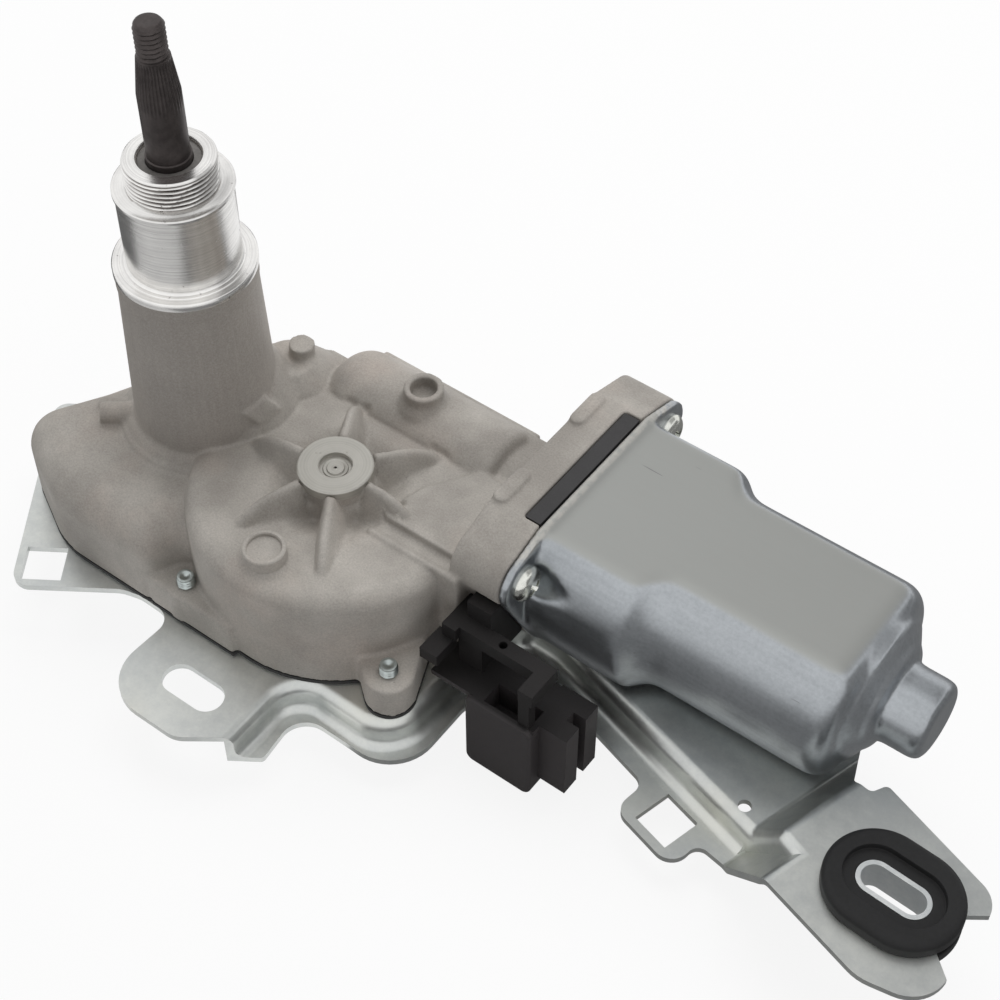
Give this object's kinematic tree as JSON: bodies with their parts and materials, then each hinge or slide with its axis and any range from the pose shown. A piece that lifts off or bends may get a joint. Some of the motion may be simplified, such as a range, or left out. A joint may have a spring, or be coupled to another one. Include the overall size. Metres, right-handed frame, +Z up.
{
  "type": "wiper motor",
  "caption": "Windscreen wiper motor: die-cast gear housing with a tall threaded shaft tower, flat-sided motor can and a folded sheet bracket with slots and a grommet.",
  "frame": {"origin": "on the output shaft's axis, at the underside of the bracket plate", "axes": "+Z up along the output shaft, +X along the motor away from the shaft, +Y towards the side where the motor lies"},
  "size_m": [0.2338, 0.113, 0.1366],
  "materials": {
    "zinc_sheet": "zinc-plated sheet steel",
    "black_rubber": "moulded rubber",
    "zinc_sleeve": "bright zinc-plated tube",
    "die_cast": "die cast, dull, fine grain",
    "gasket": "flat paper-rubber gasket",
    "bright_screw": "bright plated screw",
    "deep_drawn_can": "plated deep-drawn sheet",
    "ferrite": "sintered ferrite",
    "sintered_bronze": "oil-filled sintered bronze",
    "card_plastic": "moulded brush card",
    "carbon": "pressed carbon",
    "spring_steel": "spring steel",
    "black_plastic": "glass-filled nylon",
    "tinned_blade": "tinned brass",
    "plain_steel": "ground steel",
    "core_steel": "stacked laminations",
    "copper_wire": "enamelled copper wire",
    "copper_bar": "copper bars",
    "gear_plastic": "moulded acetal",
    "dark_shaft": "hardened, phosphated steel",
    "sintered_steel": "sintered steel"
  },
  "bodies": {
    "housing": {"mounting_bracket": "zinc_sheet", "bracket_grommet": "black_rubber", "grommet_sleeve": "zinc_sleeve", "gear_casing": "die_cast", "base_gasket": "gasket", "bracket_screws": "bright_screw", "motor_yoke": "deep_drawn_can", "yoke_screws": "bright_screw", "magnet_front": "ferrite", "magnet_back": "ferrite", "rear_bearing": "sintered_bronze", "front_bearing": "sintered_bronze", "brush_card": "card_plastic", "brush_front": "carbon", "brush_back": "carbon", "spring_front": "spring_steel", "spring_back": "spring_steel", "connector_body": "black_plastic", "connector_terminals": "tinned_blade", "wheel_pin": "plain_steel", "lower_bush": "sintered_bronze", "upper_bush": "sintered_bronze", "shaft_seal": "black_rubber", "shaft_washer": "plain_steel"},
    "armature": {"armature_shaft": "plain_steel", "armature_core": "core_steel", "armature_coils": "copper_wire", "commutator": "copper_bar"},
    "wheel": {"worm_wheel": "gear_plastic", "crank_pin": "plain_steel"},
    "output": {"output_shaft": "dark_shaft", "output_pinion": "plain_steel", "shaft_ring": "spring_steel"},
    "swing": {"swing_plate": "zinc_sheet", "sector_pin": "plain_steel"},
    "rod": {"sector_rod": "sintered_steel"}
  },
  "joints": [
    {"name": "armature_spin", "type": "hinge", "parent": "housing", "child": "armature", "pos_m": [0.113, 0.0242, 0.0205], "axis": [1, 0, 0], "continuous": true},
    {"name": "wheel_spin", "type": "hinge", "parent": "housing", "child": "wheel", "pos_m": [0.038, -0.0025, 0.0205], "axis": [0, 0, 1], "continuous": true},
    {"name": "swing_pivot", "type": "hinge", "parent": "housing", "child": "swing", "pos_m": [0, 0, 0.0079], "axis": [0, 0, 1], "range_deg": [0, 38.94]},
    {"name": "rod_pivot", "type": "hinge", "parent": "swing", "child": "rod", "pos_m": [-0.00391, -0.02216, 0.0114], "axis": [0, 0, 1], "range_deg": [-38.94, 0]},
    {"name": "output_spin", "type": "hinge", "parent": "housing", "child": "output", "pos_m": [0, 0, 0.06], "axis": [0, 0, 1], "range_deg": [0, 116.83]}
  ],
  "couplings": [
    {"joint": "wheel_spin", "follows": "armature_spin", "ratio": 0.022727},
    {"joint": "rod_pivot", "follows": "swing_pivot", "ratio": -1},
    {"joint": "output_spin", "follows": "swing_pivot", "ratio": 3}
  ]
}
